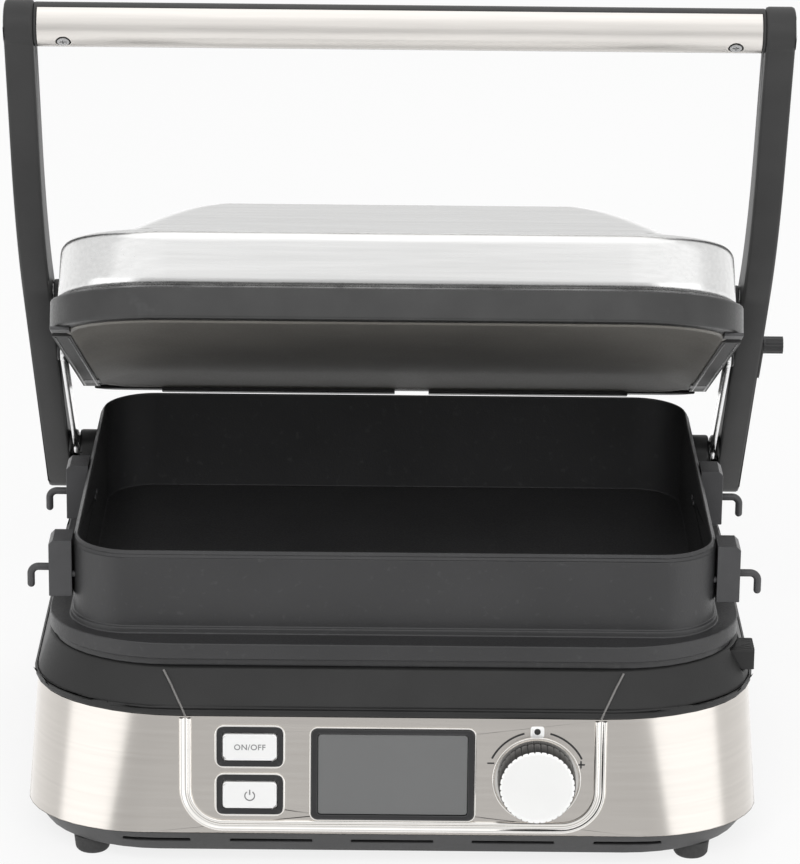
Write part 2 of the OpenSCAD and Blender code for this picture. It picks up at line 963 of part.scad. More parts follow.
// Tongue behind the button that holds the flange's edge down until it is pushed in
module release_latch() {
    color(silver)
        span_box(
            [deck_w / 2 - 14 + release_travel, release_y - 5, release_z - 3],
            [deck_w / 2 - 8, release_y + 5, release_z - 1]
        );
}

// ----------------------------------------------------------------- drip tray

// Rails on the bottom shell, each with a ledge under the tray
module tray_rails() {
    rail_t = 3;
    ledge_w = 7;
    from = back_y - tray_d - 2;
    to = back_y - 10;
    floor_z = shell_z + shell_wall;
    color(black)
        for (side = [0, 1])
            mirror([side, 0, 0]) {
                span_box([tray_w / 2 + side_gap, from, floor_z],
                    [tray_w / 2 + side_gap + rail_t, to, tray_z + tray_h]);
                span_box([tray_w / 2 - ledge_w, from, floor_z],
                    [tray_w / 2 + side_gap + eps, to, tray_z - seat_gap]);
            }
}

module drip_tray() {
    color(dark)
        difference() {
            span_box([-tray_w / 2, back_y - tray_d, tray_z],
                [tray_w / 2, back_y - 1, tray_z + tray_h]);
            span_box([-tray_w / 2 + tray_wall, back_y - tray_d + tray_wall, tray_z + tray_wall],
                [tray_w / 2 - tray_wall, back_y - 1 - tray_wall, tray_z + tray_h + 1]);
        }
}

module tray_handle() {
    color(black)
        difference() {
            span_box([-tray_w / 2 - 5, back_y - 1, tray_z - 1],
                [tray_w / 2 + 5, back_y - 1 + tray_face_t + flare, tray_z + tray_h + 1]);
            translate([0, back_y + flare + tray_face_t, tray_z + tray_h - 4])
                rotate([0, 90, 0])
                    cylinder(r = 4, h = 50, center = true, $fn = fine);
        }
}

// ------------------------------------------------------------------- bake pan

module pan_profile(w, d, r, z, h) {
    translate([0, pan_mid, z])
        round_block(w, d, r, h);
}

module bake_pan() {
    color(black)
        difference() {
            union() {
                pan_profile(pan_w, pan_d, pan_r, pan_floor_z, pan_rim_z - pan_edge - pan_floor_z);
                // Top edge of the wall, turned in a little
                for (step = [1, 2])
                    pan_profile(pan_w - step * pan_edge_in, pan_d - step * pan_edge_in,
                        pan_r - step * pan_edge_in / 2, pan_floor_z,
                        pan_rim_z - pan_edge * (2 - step) / 2 - pan_floor_z);
                difference() {
                    union() {
                        translate([0, pan_mid, 0]) {
                            slab(pan_w + 2 * flange_w, flange_d, flange_corner, flange_z, flange_h);
                            slab(pan_w + 2 * flange_w - 5, flange_d - 5, inset(flange_corner, 2),
                                deck_z, flange_z - deck_z);
                        }
                        pan_profile(pan_w + 3, pan_d + 3, pan_r + 1.5, flange_z, flange_h + 3);
                    }
                    for (sx = [-1, 1])
                        span_box(
                            [sx > 0 ? tower_in - 1 : -base_w, tower_front - 4, deck_z - 1],
                            [sx > 0 ? base_w : 1 - tower_in, back_y + 20, flange_z + flange_h + 4]
                        );
                }
            }
            pan_profile(pan_w - 2 * pan_wall, pan_d - 2 * pan_wall, pan_r - pan_wall,
                deck_z + pan_base, pan_rim_z);
            at_brackets()
                rivet_rods(rivet_r + run_gap, -pan_wall - 2, 2);
            // Step that lets the pan drop into the well, clear of its front edge
            translate([0, pan_mid, deck_z - pan_drop - 1])
                difference() {
                    round_block(pan_w + 40, pan_d + 40, pan_r, pan_drop + 1);
                    translate([0, 1, -1])
                        round_block(pan_w - 2 * foot_ring_in, pan_d - 2 * foot_ring_in - 2, pan_r - 8,
                            pan_drop + 3);
                }
        }
}

module at_brackets() {
    for (sx = [0, 1], y = bracket_y)
        mirror([sx, 0, 0])
            translate([pan_w / 2, y, pan_rim_z - 1.2])
                children();
}

// Four sheet-metal ears on the pan's sides
module pan_brackets() {
    color(black)
        at_brackets()
            difference() {
                translate([0, bracket_len / 2, 0])
                    rotate([90, 0, 0])
                        linear_extrude(height = bracket_len)
                            polygon([
                                [0, -bracket_drop], [bracket_out, -bracket_drop],
                                [bracket_out, -2], [bracket_out - 2, 0], [0, 0]
                            ]);
                translate([bracket_t, -bracket_len / 2 + bracket_t, -bracket_drop - 1])
                    cube([bracket_out - 2 * bracket_t, bracket_len - 2 * bracket_t,
                        bracket_drop + 1 - bracket_t]);
                translate([bracket_out - bracket_t - 1, 0, hook_root_z])
                    rotate([0, 90, 0])
                        cylinder(r = hook_dia / 2, h = bracket_t + 2, $fn = fine);
                rivet_rods(rivet_r + run_gap, -pan_wall - 2, 4);
            }
}

rivet_r = 1.6;

// Two rods through the pan's wall and an ear, from x0 to x1
module rivet_rods(r, x0, x1) {
    for (y = [-4.5, 4.5])
        rod_x(x0, x1, y, -18, r);
}

hook_root_z = -16;
hook_bend_r = 3.6;
hook_reach = 5.5;
hook_fall = 5;

// Bent rods that point out and down from the ears
module pan_hooks() {
    r = hook_dia / 2;
    color(black)
        at_brackets()
            translate([bracket_out - bracket_t, 0, hook_root_z]) {
                rotate([0, 90, 0])
                    cylinder(r = r, h = bracket_t + hook_reach, $fn = 48);
                translate([bracket_t + hook_reach, 0, -hook_bend_r])
                    rotate([90, 0, 0])
                        rotate_extrude(angle = 90, $fn = fine)
                            translate([hook_bend_r, 0])
                                circle(r, $fn = 48);
                translate([bracket_t + hook_reach + hook_bend_r, 0, -hook_bend_r - hook_fall])
                    cylinder(r = r, h = hook_fall, $fn = 48);
                translate([bracket_t + hook_reach + hook_bend_r, 0, -hook_bend_r - hook_fall])
                    sphere(r, $fn = 48);
            }
}

module pan_rivets() {
    color(silver)
        at_brackets()
            rivet_rods(rivet_r, -pan_wall - 0.6, bracket_t + 0.8);
}

// ------------------------------------------------------------ arms and handle

// Side outline of an arm, hinge at the origin, handle towards -y and +z
module arm_outline() {
    up = arm_up_w / 2;
    low = arm_low_w / 2;
    wedge = (bend_r + arm_up_w) / cos(arm_bend / 2);
    circle(low, $fn = fine);
    polygon([[0, -low], [-arm_low + bend_t, -up], [-arm_low + bend_t, up], [0, low]]);
    translate([-arm_low + bend_t, bend_r])
        intersection() {
            difference() {
                circle(bend_r + up, $fn = 4 * fine);
                circle(bend_r - up, $fn = 4 * fine);
            }
            polygon([
                [0, 0], [0, -wedge],
                [-wedge * sin(arm_bend), -wedge * cos(arm_bend)]
            ]);
        }
    translate([handle_p, handle_q]) {
        rotate(-arm_bend)
            translate([0, -up])
                square([arm_up - bend_t + eps, 2 * up]);
        circle(cap_r, $fn = fine);
    }
}

module arm(side) {
    color(black)
        on_arm()
            mirror([side > 0 ? 0 : 1, 0, 0])
                difference() {
                    side_extrude(arm_in, arm_out)
                        arm_outline();
                    rod_x(arm_in - 1, arm_out - 4, 0, 0, hinge_pin_r + run_gap);
                    rod_x(arm_out - 4, arm_out + 1, 0, 0, hinge_pin_r + 2.5);
                    rod_x(arm_in - 1, arm_in + 8, -lid_reach, 0, lid_pin_r);
                    rod_x(arm_in - 1, arm_in + 6, handle_p, handle_q, bar_r - 2);
                    if (side > 0)
                        adjuster_slot();
                }
}

module adjuster_slot() {
    run = adjuster_travel + adjuster_stem_r + side_gap;
    side_extrude(arm_in - 1, arm_out + 1)
        translate([-adjuster_at, 0]) {
            square([2 * run - adjuster_slot_w, adjuster_slot_w], center = true);
            for (s = [-1, 1])
                translate([s * (run - adjuster_slot_w / 2), 0])
                    circle(adjuster_slot_w / 2, $fn = fine);
        }
}

module left_arm() {
    arm(-1);
}

module right_arm() {
    arm(1);
}

// Black bar with a spigot in each arm, relieved in front for the steel sleeve
module handle_core() {
    color(black)
        on_arm() {
            difference() {
                union() {
                    difference() {
                        rod_x(-arm_in, arm_in, handle_p, handle_q, bar_r);
                        sleeve_shape(arm_in - 1.5, bar_r + 1, bar_r - 1.2);
                    }
                    rod_x(-arm_in - 6, arm_in + 6, handle_p, handle_q, bar_r - 2);
                }
                for (sx = [-1, 1])
                    at_handle_screw(sx) {
                        translate([0, 0, -10])
                            cylinder(r = 1.5 + run_gap, h = 11, $fn = fine);
                        translate([0, 0, -2])
                            cylinder(r = 2.9 + seat_gap, h = 3, $fn = fine);
                    }
            }
        }
}

sleeve_top = 70;
sleeve_low = -62;

// Part of a tube on the bar's front, between two heights of its circumference
module sleeve_shape(half, outer, inner) {
    rise = sleeve_top - sleeve_low;
    translate([half, handle_p, handle_q])
        rotate([lift, 0, 0])
            rotate([0, -90, 0])
                rotate([0, 0, -sleeve_top])
                    linear_extrude(height = 2 * half)
                        difference() {
                            intersection() {
                                circle(outer, $fn = fine);
                                polygon(concat([[0, 0]], [for (i = [0:6])
                                    1.4 * outer * [cos(i * rise / 6 - 90), sin(i * rise / 6 - 90)]]));
                            }
                            circle(inner, $fn = fine);
                        }
}

module handle_sleeve() {
    color(steel)
        on_arm()
            difference() {
                sleeve_shape(arm_in - 1.7, bar_r, bar_r - 1.2 + seat_gap / 2);
                for (sx = [-1, 1])
                    at_handle_screw(sx)
                        translate([0, 0, -4])
                            cylinder(r = 3.6, h = 6, $fn = 48);
            }
}

module at_handle_screw(sx) {
    translate([sx * (arm_in - 14), handle_p, handle_q])
        rotate([lift, 0, 0])
            rotate([90 + 42, 0, 0])
                translate([0, 0, bar_r])
                    children();
}

module handle_screws() {
    color(silver)
        on_arm()
            for (sx = [-1, 1])
                at_handle_screw(sx)
                    difference() {
                        union() {
                            translate([0, 0, -1.8])
                                cylinder(r = 2.9, h = 1.6, $fn = 48);
                            translate([0, 0, -9])
                                cylinder(r = 1.5, h = 8, $fn = 48);
                        }
                        for (a = [0, 90])
                            rotate([0, 0, a])
                                translate([-1.6, -0.35, -1])
                                    cube([3.2, 0.7, 2]);
                    }
}

module lid_pivot_pins() {
    color(silver)
        on_arm()
            for (side = [0, 1])
                mirror([side, 0, 0])
                    rod_x(boss_in() + 3, arm_in + 8, -lid_reach, 0, lid_pin_r);
}

module adjuster_knob() {
    color(black)
        on_arm() {
            difference() {
                rod_x(arm_out + adjuster_plate_t, arm_out + adjuster_out, -adjuster_at, 0, adjuster_dia / 2);
                for (i = [0:11])
                    translate([0, -adjuster_at, 0])
                        rotate([i * 30, 0, 0])
                            rod_x(arm_out + 3, arm_out + adjuster_out + 1, 0, adjuster_dia / 2 + 0.3, 0.7);
            }
            rod_x(arm_in + 2, arm_out + adjuster_plate_t, -adjuster_at, 0, adjuster_stem_r);
        }
}

module adjuster_plate() {
    color(dark)
        on_arm()
            difference() {
                side_extrude(arm_out + 0.1, arm_out + adjuster_plate_t)
                    translate([-adjuster_at + 10, 0])
                        round_rect(adjuster_plate_l, adjuster_plate_w, 3);
                rod_x(arm_out - 1, arm_out + 5, -adjuster_at, 0, adjuster_stem_r);
            }
}

// ------------------------------------------------------------------------ lid

module lid_slab(w, d, z, h, by = 0) {
    translate([0, lid_d / 2, 0])
        slab(w, d, inset(lid_corner, by), z, h);
}

module lid_band() {
    color(dark)
        on_lid()
            difference() {
                lid_slab(lid_w, lid_d, 0, band_h);
                lid_slab(lid_w - 2 * plate_in, lid_d - 2 * plate_in, -1, band_h + 2, plate_in);
                for (side = [0, 1])
                    mirror([side, 0, 0])
                        rod_x(lid_w / 2 - plate_in - 1, lid_w / 2 + 1, stud_back, stud_up, stud_r);
            }
}

// One closed shape of the cover, shrunk by in on every side
module cover_shape(in) {
    below = in > 0 ? 1 : 0;
    walls_w = cover_w - 2 * in;
    walls_d = cover_d - 2 * in;
    translate([0, lid_d / 2, cover_z - below])
        linear_extrude(height = cover_h - in + below, slices = 1,
            scale = [1 - 2 * cover_lean / walls_w, 1 - 2 * cover_lean / walls_d])
            plan(walls_w, walls_d, inset(lid_corner, in + 3));
    // The raised top narrows towards one point, so its front and back slope differently
    sink = 1 + in;
    top_scale = [(cover_w - 2 * crown_top_in) / crown_w, crown_top_d / crown_d];
    centre = crown_front + crown_slope_front / (1 - top_scale[1]);
    translate([0, centre, cover_top - sink])
        linear_extrude(height = crown_h + 1, scale = top_scale, slices = 1)
            translate([0, (crown_front + crown_back) / 2 - centre])
                round_rect(crown_w - 2 * in, crown_d - 2 * in, crown_corner, hull_fine);
}

module lid_cover() {
    pocket_r = boss_dia / 2 + seat_gap;
    color(steel)
        on_lid()
            difference() {
                cover_shape(0);
                cover_shape(cover_wall);
                for (side = [0, 1])
                    mirror([side, 0, 0])
                        rod_x(cover_w / 2 - 8, cover_w / 2 + 8, pivot_back, pivot_up, pocket_r);
            }
}

plate_t = 3;

// Upper cooking plate: a shallow tray facing down, with its rim on the band
module upper_plate() {
    w = lid_w - 2 * plate_in - 2 * side_gap;
    d = lid_d - 2 * plate_in - 2 * side_gap;
    color(tube_grey)
        on_lid()
            translate([0, lid_d / 2, 0])
                difference() {
                    slab(w, d, inset(lid_corner, plate_in), 1, band_h - 2);
                    tapered(w - 6, d - 6, -1, w - 34, d - 34, band_h - 1 - plate_t,
                        inset(lid_corner, plate_in + 3));
                }
}

upper_heater_d = 180;
upper_heater_tail = 46;
upper_heater_z = band_h + 5;

// Dish over the plate's tube, open towards the plate
module upper_reflector() {
    w = cover_w - 24;
    d = cover_d - 24;
    color(silver)
        on_lid()
            translate([0, lid_d / 2, band_h - 1])
                difference() {
                    slab(w, d, inset(lid_corner, 12), 0, 14);
                    slab(w - 2, d - 2, inset(lid_corner, 13), -1, 14);
                    translate([0, 0, upper_heater_z - band_h + 1])
                        heater(heater_w, upper_heater_d, upper_heater_tail, heater_r);
                }
}

module upper_element() {
    color(tube_grey)
        on_lid()
            translate([0, lid_d / 2, upper_heater_z])
                heater(heater_w, upper_heater_d, upper_heater_tail, heater_r);
}

module upper_thermostat() {
    color(silver)
        on_lid()
            translate([0, lid_d / 2, band_h - 1]) {
                cylinder(r = 12, h = 4, $fn = fine);
                cylinder(r = 8, h = thermostat_h, $fn = fine);
            }
}

rail_h = 2.6;

// Stepped rail under the lid's back edge, with a gap beside the middle
module rear_rail() {
    half = lid_w / 2 - 6;
    rail_front = lid_d - plate_in + 0.5;
    gap_w = 18;
    step_w = 36;
    color(black)
        on_lid()
            difference() {
                intersection() {
                    lid_slab(lid_w - 2, lid_d - 2, -rail_h, rail_h, 1);
                    span_box([-half, rail_front, -rail_h - 1], [half, lid_d, 1]);
                }
                span_box([0, rail_front - 1, -rail_h - 1], [gap_w, lid_d + 1, -0.8]);
                for (side = [0, 1])
                    mirror([side, 0, 0])
                        span_box([half - step_w, rail_front - 1, -rail_h - 1],
                            [half + 1, lid_d + 1, -rail_h + 1]);
            }
}

clip_t = 1.6;

// Corner catches that hold the upper plate
module plate_clips() {
    color(silver)
        on_lid()
            for (side = [0, 1], y = [34, lid_d - 46])
                mirror([side, 0, 0])
                    translate([lid_w / 2 - plate_in - 2, y, -clip_t])
                        cube([9, 12, clip_t]);
}

function boss_in() = cover_w / 2 - 10;

module lid_bosses() {
    color(dark)
        on_lid()
            for (side = [0, 1])
                mirror([side, 0, 0])
                    difference() {
                        union() {
                            rod_x(boss_in(), arm_in - side_gap, pivot_back, pivot_up, boss_dia / 2);
                            span_box([boss_in(), pivot_back - 9, pivot_up - 12],
                                [boss_in() + 2, pivot_back + 9, pivot_up + 4]);
                        }
                        rod_x(boss_in() - 1, arm_in + 1, pivot_back, pivot_up, lid_pin_r + run_gap);
                    }
}

module link_studs() {
    color(black)
        on_lid()
            for (side = [0, 1])
                mirror([side, 0, 0]) {
                    rod_x(lid_w / 2 - plate_in + 0.5, link_out + 0.2, stud_back, stud_up, stud_r);
                    rod_x(link_out + 0.2, link_out + 1.4, stud_back, stud_up, stud_r + 2);
                }
}

// ---------------------------------------------------------------------- links

// Flat bar from the lid's stud down to the pin in the tower, where its eye is a slot
module link(side) {
    color(silver)
        mirror([side > 0 ? 0 : 1, 0, 0])
            translate([0, stud_y, stud_z])
                rotate([-link_angle, 0, 0])
                    side_extrude(link_in, link_out)
                        difference() {
                            union() {
                                circle(link_w / 2 + 0.5, $fn = fine);
                                translate([0, -link_w / 2])
                                    square([link_len, link_w]);
                                slot_outline(link_eye_r);
                            }
                            circle(stud_r + run_gap, $fn = fine);
                            slot_outline(slot_r);
                        }
}

module slot_outline(r) {
    for (x = [link_len - slot_aft, link_len + slot_fore])
        translate([x, 0])
            circle(r, $fn = fine);
    translate([link_len - slot_aft, -r])
        square([slot_aft + slot_fore, 2 * r]);
}

module left_link() {
    link(-1);
}

module right_link() {
    link(1);
}

bottom_shell();
feet();
foot_screws();
steel_wrap();
upper_housing();
control_bead();
key_frames();
display_bezel();
display_window();
display_module();
dial_collar();
encoder_body();
control_board();
key_switches();
power_board();
lower_reflector();
lower_element();
lower_thermostat();
left_hinge_tower();
right_hinge_tower();
hinge_pins();
link_pins();
cord_gland();
tray_rails();
upper_key();
power_key();
dial_knob();
dial_shaft();
release_button();
release_latch();
drip_tray();
tray_handle();
bake_pan();
pan_brackets();
pan_hooks();
pan_rivets();
left_arm();
right_arm();
handle_core();
handle_sleeve();
handle_screws();
lid_pivot_pins();
adjuster_knob();
adjuster_plate();
lid_cover();
lid_band();
upper_plate();
upper_reflector();
upper_element();
upper_thermostat();
rear_rail();
plate_clips();
lid_bosses();
link_studs();
left_link();
right_link();
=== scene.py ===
import math

import bmesh
import bpy
from mathutils import Matrix, Vector


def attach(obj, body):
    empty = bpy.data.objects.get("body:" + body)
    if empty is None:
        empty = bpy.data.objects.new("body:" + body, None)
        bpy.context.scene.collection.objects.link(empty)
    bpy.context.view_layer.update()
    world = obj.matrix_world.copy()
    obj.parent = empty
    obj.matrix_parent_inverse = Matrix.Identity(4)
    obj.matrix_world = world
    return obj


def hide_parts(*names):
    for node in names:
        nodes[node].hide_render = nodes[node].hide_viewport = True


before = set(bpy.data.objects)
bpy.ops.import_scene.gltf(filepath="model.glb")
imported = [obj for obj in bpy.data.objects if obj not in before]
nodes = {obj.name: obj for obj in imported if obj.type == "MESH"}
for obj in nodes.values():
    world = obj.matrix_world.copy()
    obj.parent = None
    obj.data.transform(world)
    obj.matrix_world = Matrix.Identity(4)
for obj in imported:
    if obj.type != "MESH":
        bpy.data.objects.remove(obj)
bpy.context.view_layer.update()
MM = 0.001


# ------------------------------------------------------------------ camera, light and floor

def make_camera():
    eye = Vector((-6.4, -1966.3, 804.8)) * MM
    target = Vector((1.7, -165.0, 219.5)) * MM
    data = bpy.data.cameras.new("camera")
    data.sensor_fit = "HORIZONTAL"
    data.sensor_width = 36.0
    data.lens = 185.2
    data.clip_end = 100.0
    cam = bpy.data.objects.new("camera", data)
    turn = (target - eye).to_track_quat("-Z", "Y").to_matrix().to_4x4()
    cam.matrix_world = Matrix.Translation(eye) @ turn @ Matrix.Rotation(math.radians(0.62), 4, "Z")
    bpy.context.scene.collection.objects.link(cam)
    bpy.context.scene.camera = cam


def math_node(tree, kind, a, b=None, c=None):
    node = tree.nodes.new("ShaderNodeMath")
    node.operation = kind
    for i, v in enumerate((a, b, c)):
        if v is None:
            continue
        if isinstance(v, (int, float)):
            node.inputs[i].default_value = v
        else:
            tree.links.new(v, node.inputs[i])
    return node.outputs[0]


def grey_ramp(tree, fac, stops):
    """Colour ramp through grey stops, given as (position, value)."""
    node = tree.nodes.new("ShaderNodeValToRGB")
    ramp = node.color_ramp
    while len(ramp.elements) < len(stops):
        ramp.elements.new(0.5)
    for element, (pos, value) in zip(ramp.elements, stops):
        element.position = pos
        element.color = (value, value, value, 1.0)
    tree.links.new(fac, node.inputs["Fac"])
    return node.outputs["Color"]


def around(degrees):
    """Place on the azimuth ramp of a direction, 0 towards the camera and positive to the right."""
    return degrees / 360.0 + 0.5


def make_world():
    """White to the camera; to metal and gloss a room with two tall soft boxes in front of the corners."""
    world = bpy.data.worlds.new("studio")
    world.use_nodes = True
    bpy.context.scene.world = world
    tree = world.node_tree
    tree.nodes.clear()
    out = tree.nodes.new("ShaderNodeOutputWorld")
    coords = tree.nodes.new("ShaderNodeTexCoord")
    split = tree.nodes.new("ShaderNodeSeparateXYZ")
    tree.links.new(coords.outputs["Generated"], split.inputs[0])
    x, y, z = split.outputs
    azimuth = math_node(tree, "ARCTAN2", x, math_node(tree, "MULTIPLY", y, -1.0))
    place = math_node(tree, "MULTIPLY_ADD", azimuth, 1 / (2 * math.pi), 0.5)
    low = grey_ramp(tree, place, [
        (0.0, 0.85), (around(-110), 0.62), (around(-86), 0.55), (around(-80), 1.0),
        (around(-36), 1.0), (around(-32), 0.40), (around(28), 0.44), (around(32), 1.0),
        (around(80), 1.0), (around(86), 0.55), (around(120), 0.62), (1.0, 0.85)])
    high = grey_ramp(tree, place, [
        (0.0, 0.56), (around(-110), 0.58), (around(-70), 0.58), (around(-64), 0.76), (around(-8), 0.70),
        (around(-4), 0.62), (around(5), 0.62), (around(12), 0.72), (around(85), 0.78),
        (around(95), 0.60), (1.0, 0.56)])

    def blend_at(lowest, highest, under, over):
        """Room colour that changes from under to over between two heights of the direction."""
        height = tree.nodes.new("ShaderNodeMapRange")
        height.interpolation_type = "SMOOTHSTEP"
        height.inputs["From Min"].default_value = lowest
        height.inputs["From Max"].default_value = highest
        tree.links.new(z, height.inputs["Value"])
        mix = tree.nodes.new("ShaderNodeMix")
        mix.data_type = "RGBA"
        tree.links.new(height.outputs[0], mix.inputs["Factor"])
        for socket, colour in (("A", under), ("B", over)):
            if isinstance(colour, float):
                mix.inputs[socket].default_value = (colour, colour, colour, 1)
            else:
                tree.links.new(colour, mix.inputs[socket])
        return mix.outputs["Result"]

    room = blend_at(-0.42, -0.30, 0.73, blend_at(0.03, 0.16, low, blend_at(0.70, 0.85, high, 0.9)))
    seen = tree.nodes.new("ShaderNodeBackground")
    seen.inputs["Strength"].default_value = 1.5
    tree.links.new(room, seen.inputs["Color"])
    plain = tree.nodes.new("ShaderNodeBackground")
    plain.inputs["Color"].default_value = (1, 1, 1, 1)
    plain.inputs["Strength"].default_value = 0.5
    white = tree.nodes.new("ShaderNodeBackground")
    white.inputs["Color"].default_value = (1, 1, 1, 1)
    white.inputs["Strength"].default_value = 1.0
    path = tree.nodes.new("ShaderNodeLightPath")
    gloss = math_node(tree, "MAXIMUM", path.outputs["Is Glossy Ray"], path.outputs["Is Transmission Ray"])
    first = tree.nodes.new("ShaderNodeMixShader")
    tree.links.new(gloss, first.inputs[0])
    tree.links.new(plain.outputs[0], first.inputs[1])
    tree.links.new(seen.outputs[0], first.inputs[2])
    second = tree.nodes.new("ShaderNodeMixShader")
    tree.links.new(path.outputs["Is Camera Ray"], second.inputs[0])
    tree.links.new(first.outputs[0], second.inputs[1])
    tree.links.new(white.outputs[0], second.inputs[2])
    tree.links.new(second.outputs[0], out.inputs["Surface"])


def make_lamp(name, place, target, size, power):
    data = bpy.data.lights.new(name, "AREA")
    data.shape = "RECTANGLE"
    data.size, data.size_y = size
    data.energy = power
    lamp = bpy.data.objects.new(name, data)
    lamp.location = place
    lamp.rotation_euler = (Vector(target) - Vector(place)).to_track_quat("-Z", "Y").to_euler()
    lamp.visible_glossy = False
    bpy.context.scene.collection.objects.link(lamp)


def make_floor():
    mesh = bpy.data.meshes.new("floor")
    mesh.from_pydata([(-8, -8, 0), (8, -8, 0), (8, 8, 0), (-8, 8, 0)], [], [(0, 1, 2, 3)])
    floor = bpy.data.objects.new("floor", mesh)
    bpy.context.scene.collection.objects.link(floor)
    mat = bpy.data.materials.new("floor")
    mat.use_nodes = True
    tree = mat.node_tree
    tree.nodes.clear()
    out = tree.nodes.new("ShaderNodeOutputMaterial")
    diffuse = tree.nodes.new("ShaderNodeBsdfDiffuse")
    diffuse.inputs["Color"].default_value = (0.86, 0.86, 0.86, 1)
    white = tree.nodes.new("ShaderNodeEmission")
    white.inputs["Strength"].default_value = 1.0
    clear = tree.nodes.new("ShaderNodeBsdfTransparent")
    path = tree.nodes.new("ShaderNodeLightPath")
    pale = tree.nodes.new("ShaderNodeMixShader")
    tree.links.new(math_node(tree, "MULTIPLY", path.outputs["Is Camera Ray"], 0.83), pale.inputs[0])
    tree.links.new(diffuse.outputs[0], pale.inputs[1])
    tree.links.new(white.outputs[0], pale.inputs[2])
    mix = tree.nodes.new("ShaderNodeMixShader")
    gloss = math_node(tree, "MAXIMUM", path.outputs["Is Glossy Ray"], path.outputs["Is Transmission Ray"])
    tree.links.new(gloss, mix.inputs[0])
    tree.links.new(pale.outputs[0], mix.inputs[1])
    tree.links.new(clear.outputs[0], mix.inputs[2])
    tree.links.new(mix.outputs[0], out.inputs["Surface"])
    mesh.materials.append(mat)


# ------------------------------------------------------------------------------- materials

def finish_material(name, colour, rough, metallic=0.0, stretch=(1, 1, 1), tone=0.10, tone_scale=30.0,
                    grain_scale=900.0, grain=0.12, rough_spread=0.06, spots=None, specular=0.5):
    """Principled surface whose colour, gloss and relief vary with noise in the object's own space.

    stretch draws the noise out for brushed metal; tone is the share by which the colour varies;
    grain is the strength of the fine relief; spots is (scale, low, high, colour) for mottling.
    """
    mat = bpy.data.materials.new(name)
    mat.use_nodes = True
    tree = mat.node_tree
    tree.nodes.clear()
    out = tree.nodes.new("ShaderNodeOutputMaterial")
    body = tree.nodes.new("ShaderNodeBsdfPrincipled")
    tree.links.new(body.outputs[0], out.inputs["Surface"])
    body.inputs["Metallic"].default_value = metallic
    body.inputs["Specular IOR Level"].default_value = specular
    coords = tree.nodes.new("ShaderNodeTexCoord")
    mapping = tree.nodes.new("ShaderNodeMapping")
    mapping.inputs["Scale"].default_value = stretch
    tree.links.new(coords.outputs["Object"], mapping.inputs["Vector"])

    def noise(scale, detail, stretched=True):
        node = tree.nodes.new("ShaderNodeTexNoise")
        node.inputs["Scale"].default_value = scale
        node.inputs["Detail"].default_value = detail
        source = mapping.outputs[0] if stretched else coords.outputs["Object"]
        tree.links.new(source, node.inputs["Vector"])
        return node.outputs["Fac"]

    ramp = tree.nodes.new("ShaderNodeValToRGB")
    ramp.color_ramp.elements[0].position = 0.3
    ramp.color_ramp.elements[1].position = 0.7
    ramp.color_ramp.elements[0].color = tuple(c * (1 - tone) for c in colour[:3]) + (1,)
    ramp.color_ramp.elements[1].color = tuple(min(1, c * (1 + tone)) for c in colour[:3]) + (1,)
    tree.links.new(noise(tone_scale, 4.0), ramp.inputs["Fac"])
    tint = ramp.outputs["Color"]
    if spots:
        scale, low, high, spot_colour = spots
        mask = tree.nodes.new("ShaderNodeMapRange")
        mask.inputs["From Min"].default_value = low
        mask.inputs["From Max"].default_value = high
        tree.links.new(noise(scale, 5.0, False), mask.inputs["Value"])
        mix = tree.nodes.new("ShaderNodeMix")
        mix.data_type = "RGBA"
        tree.links.new(mask.outputs[0], mix.inputs["Factor"])
        tree.links.new(tint, mix.inputs["A"])
        mix.inputs["B"].default_value = spot_colour
        tint = mix.outputs["Result"]
    tree.links.new(tint, body.inputs["Base Color"])
    fine = noise(grain_scale, 2.0)
    gloss = tree.nodes.new("ShaderNodeMapRange")
    gloss.inputs["From Min"].default_value = 0.3
    gloss.inputs["From Max"].default_value = 0.7
    gloss.inputs["To Min"].default_value = max(0.02, rough - rough_spread)
    gloss.inputs["To Max"].default_value = rough + rough_spread
    tree.links.new(fine, gloss.inputs["Value"])
    tree.links.new(gloss.outputs[0], body.inputs["Roughness"])
    relief = tree.nodes.new("ShaderNodeBump")
    relief.inputs["Strength"].default_value = grain
    relief.inputs["Distance"].default_value = 0.0003
    tree.links.new(fine, relief.inputs["Height"])
    tree.links.new(relief.outputs[0], body.inputs["Normal"])
    return mat


BRUSHED_X = (0.03, 1.0, 1.0)
BRUSHED_ROUND = (0.03, 0.03, 1.0)

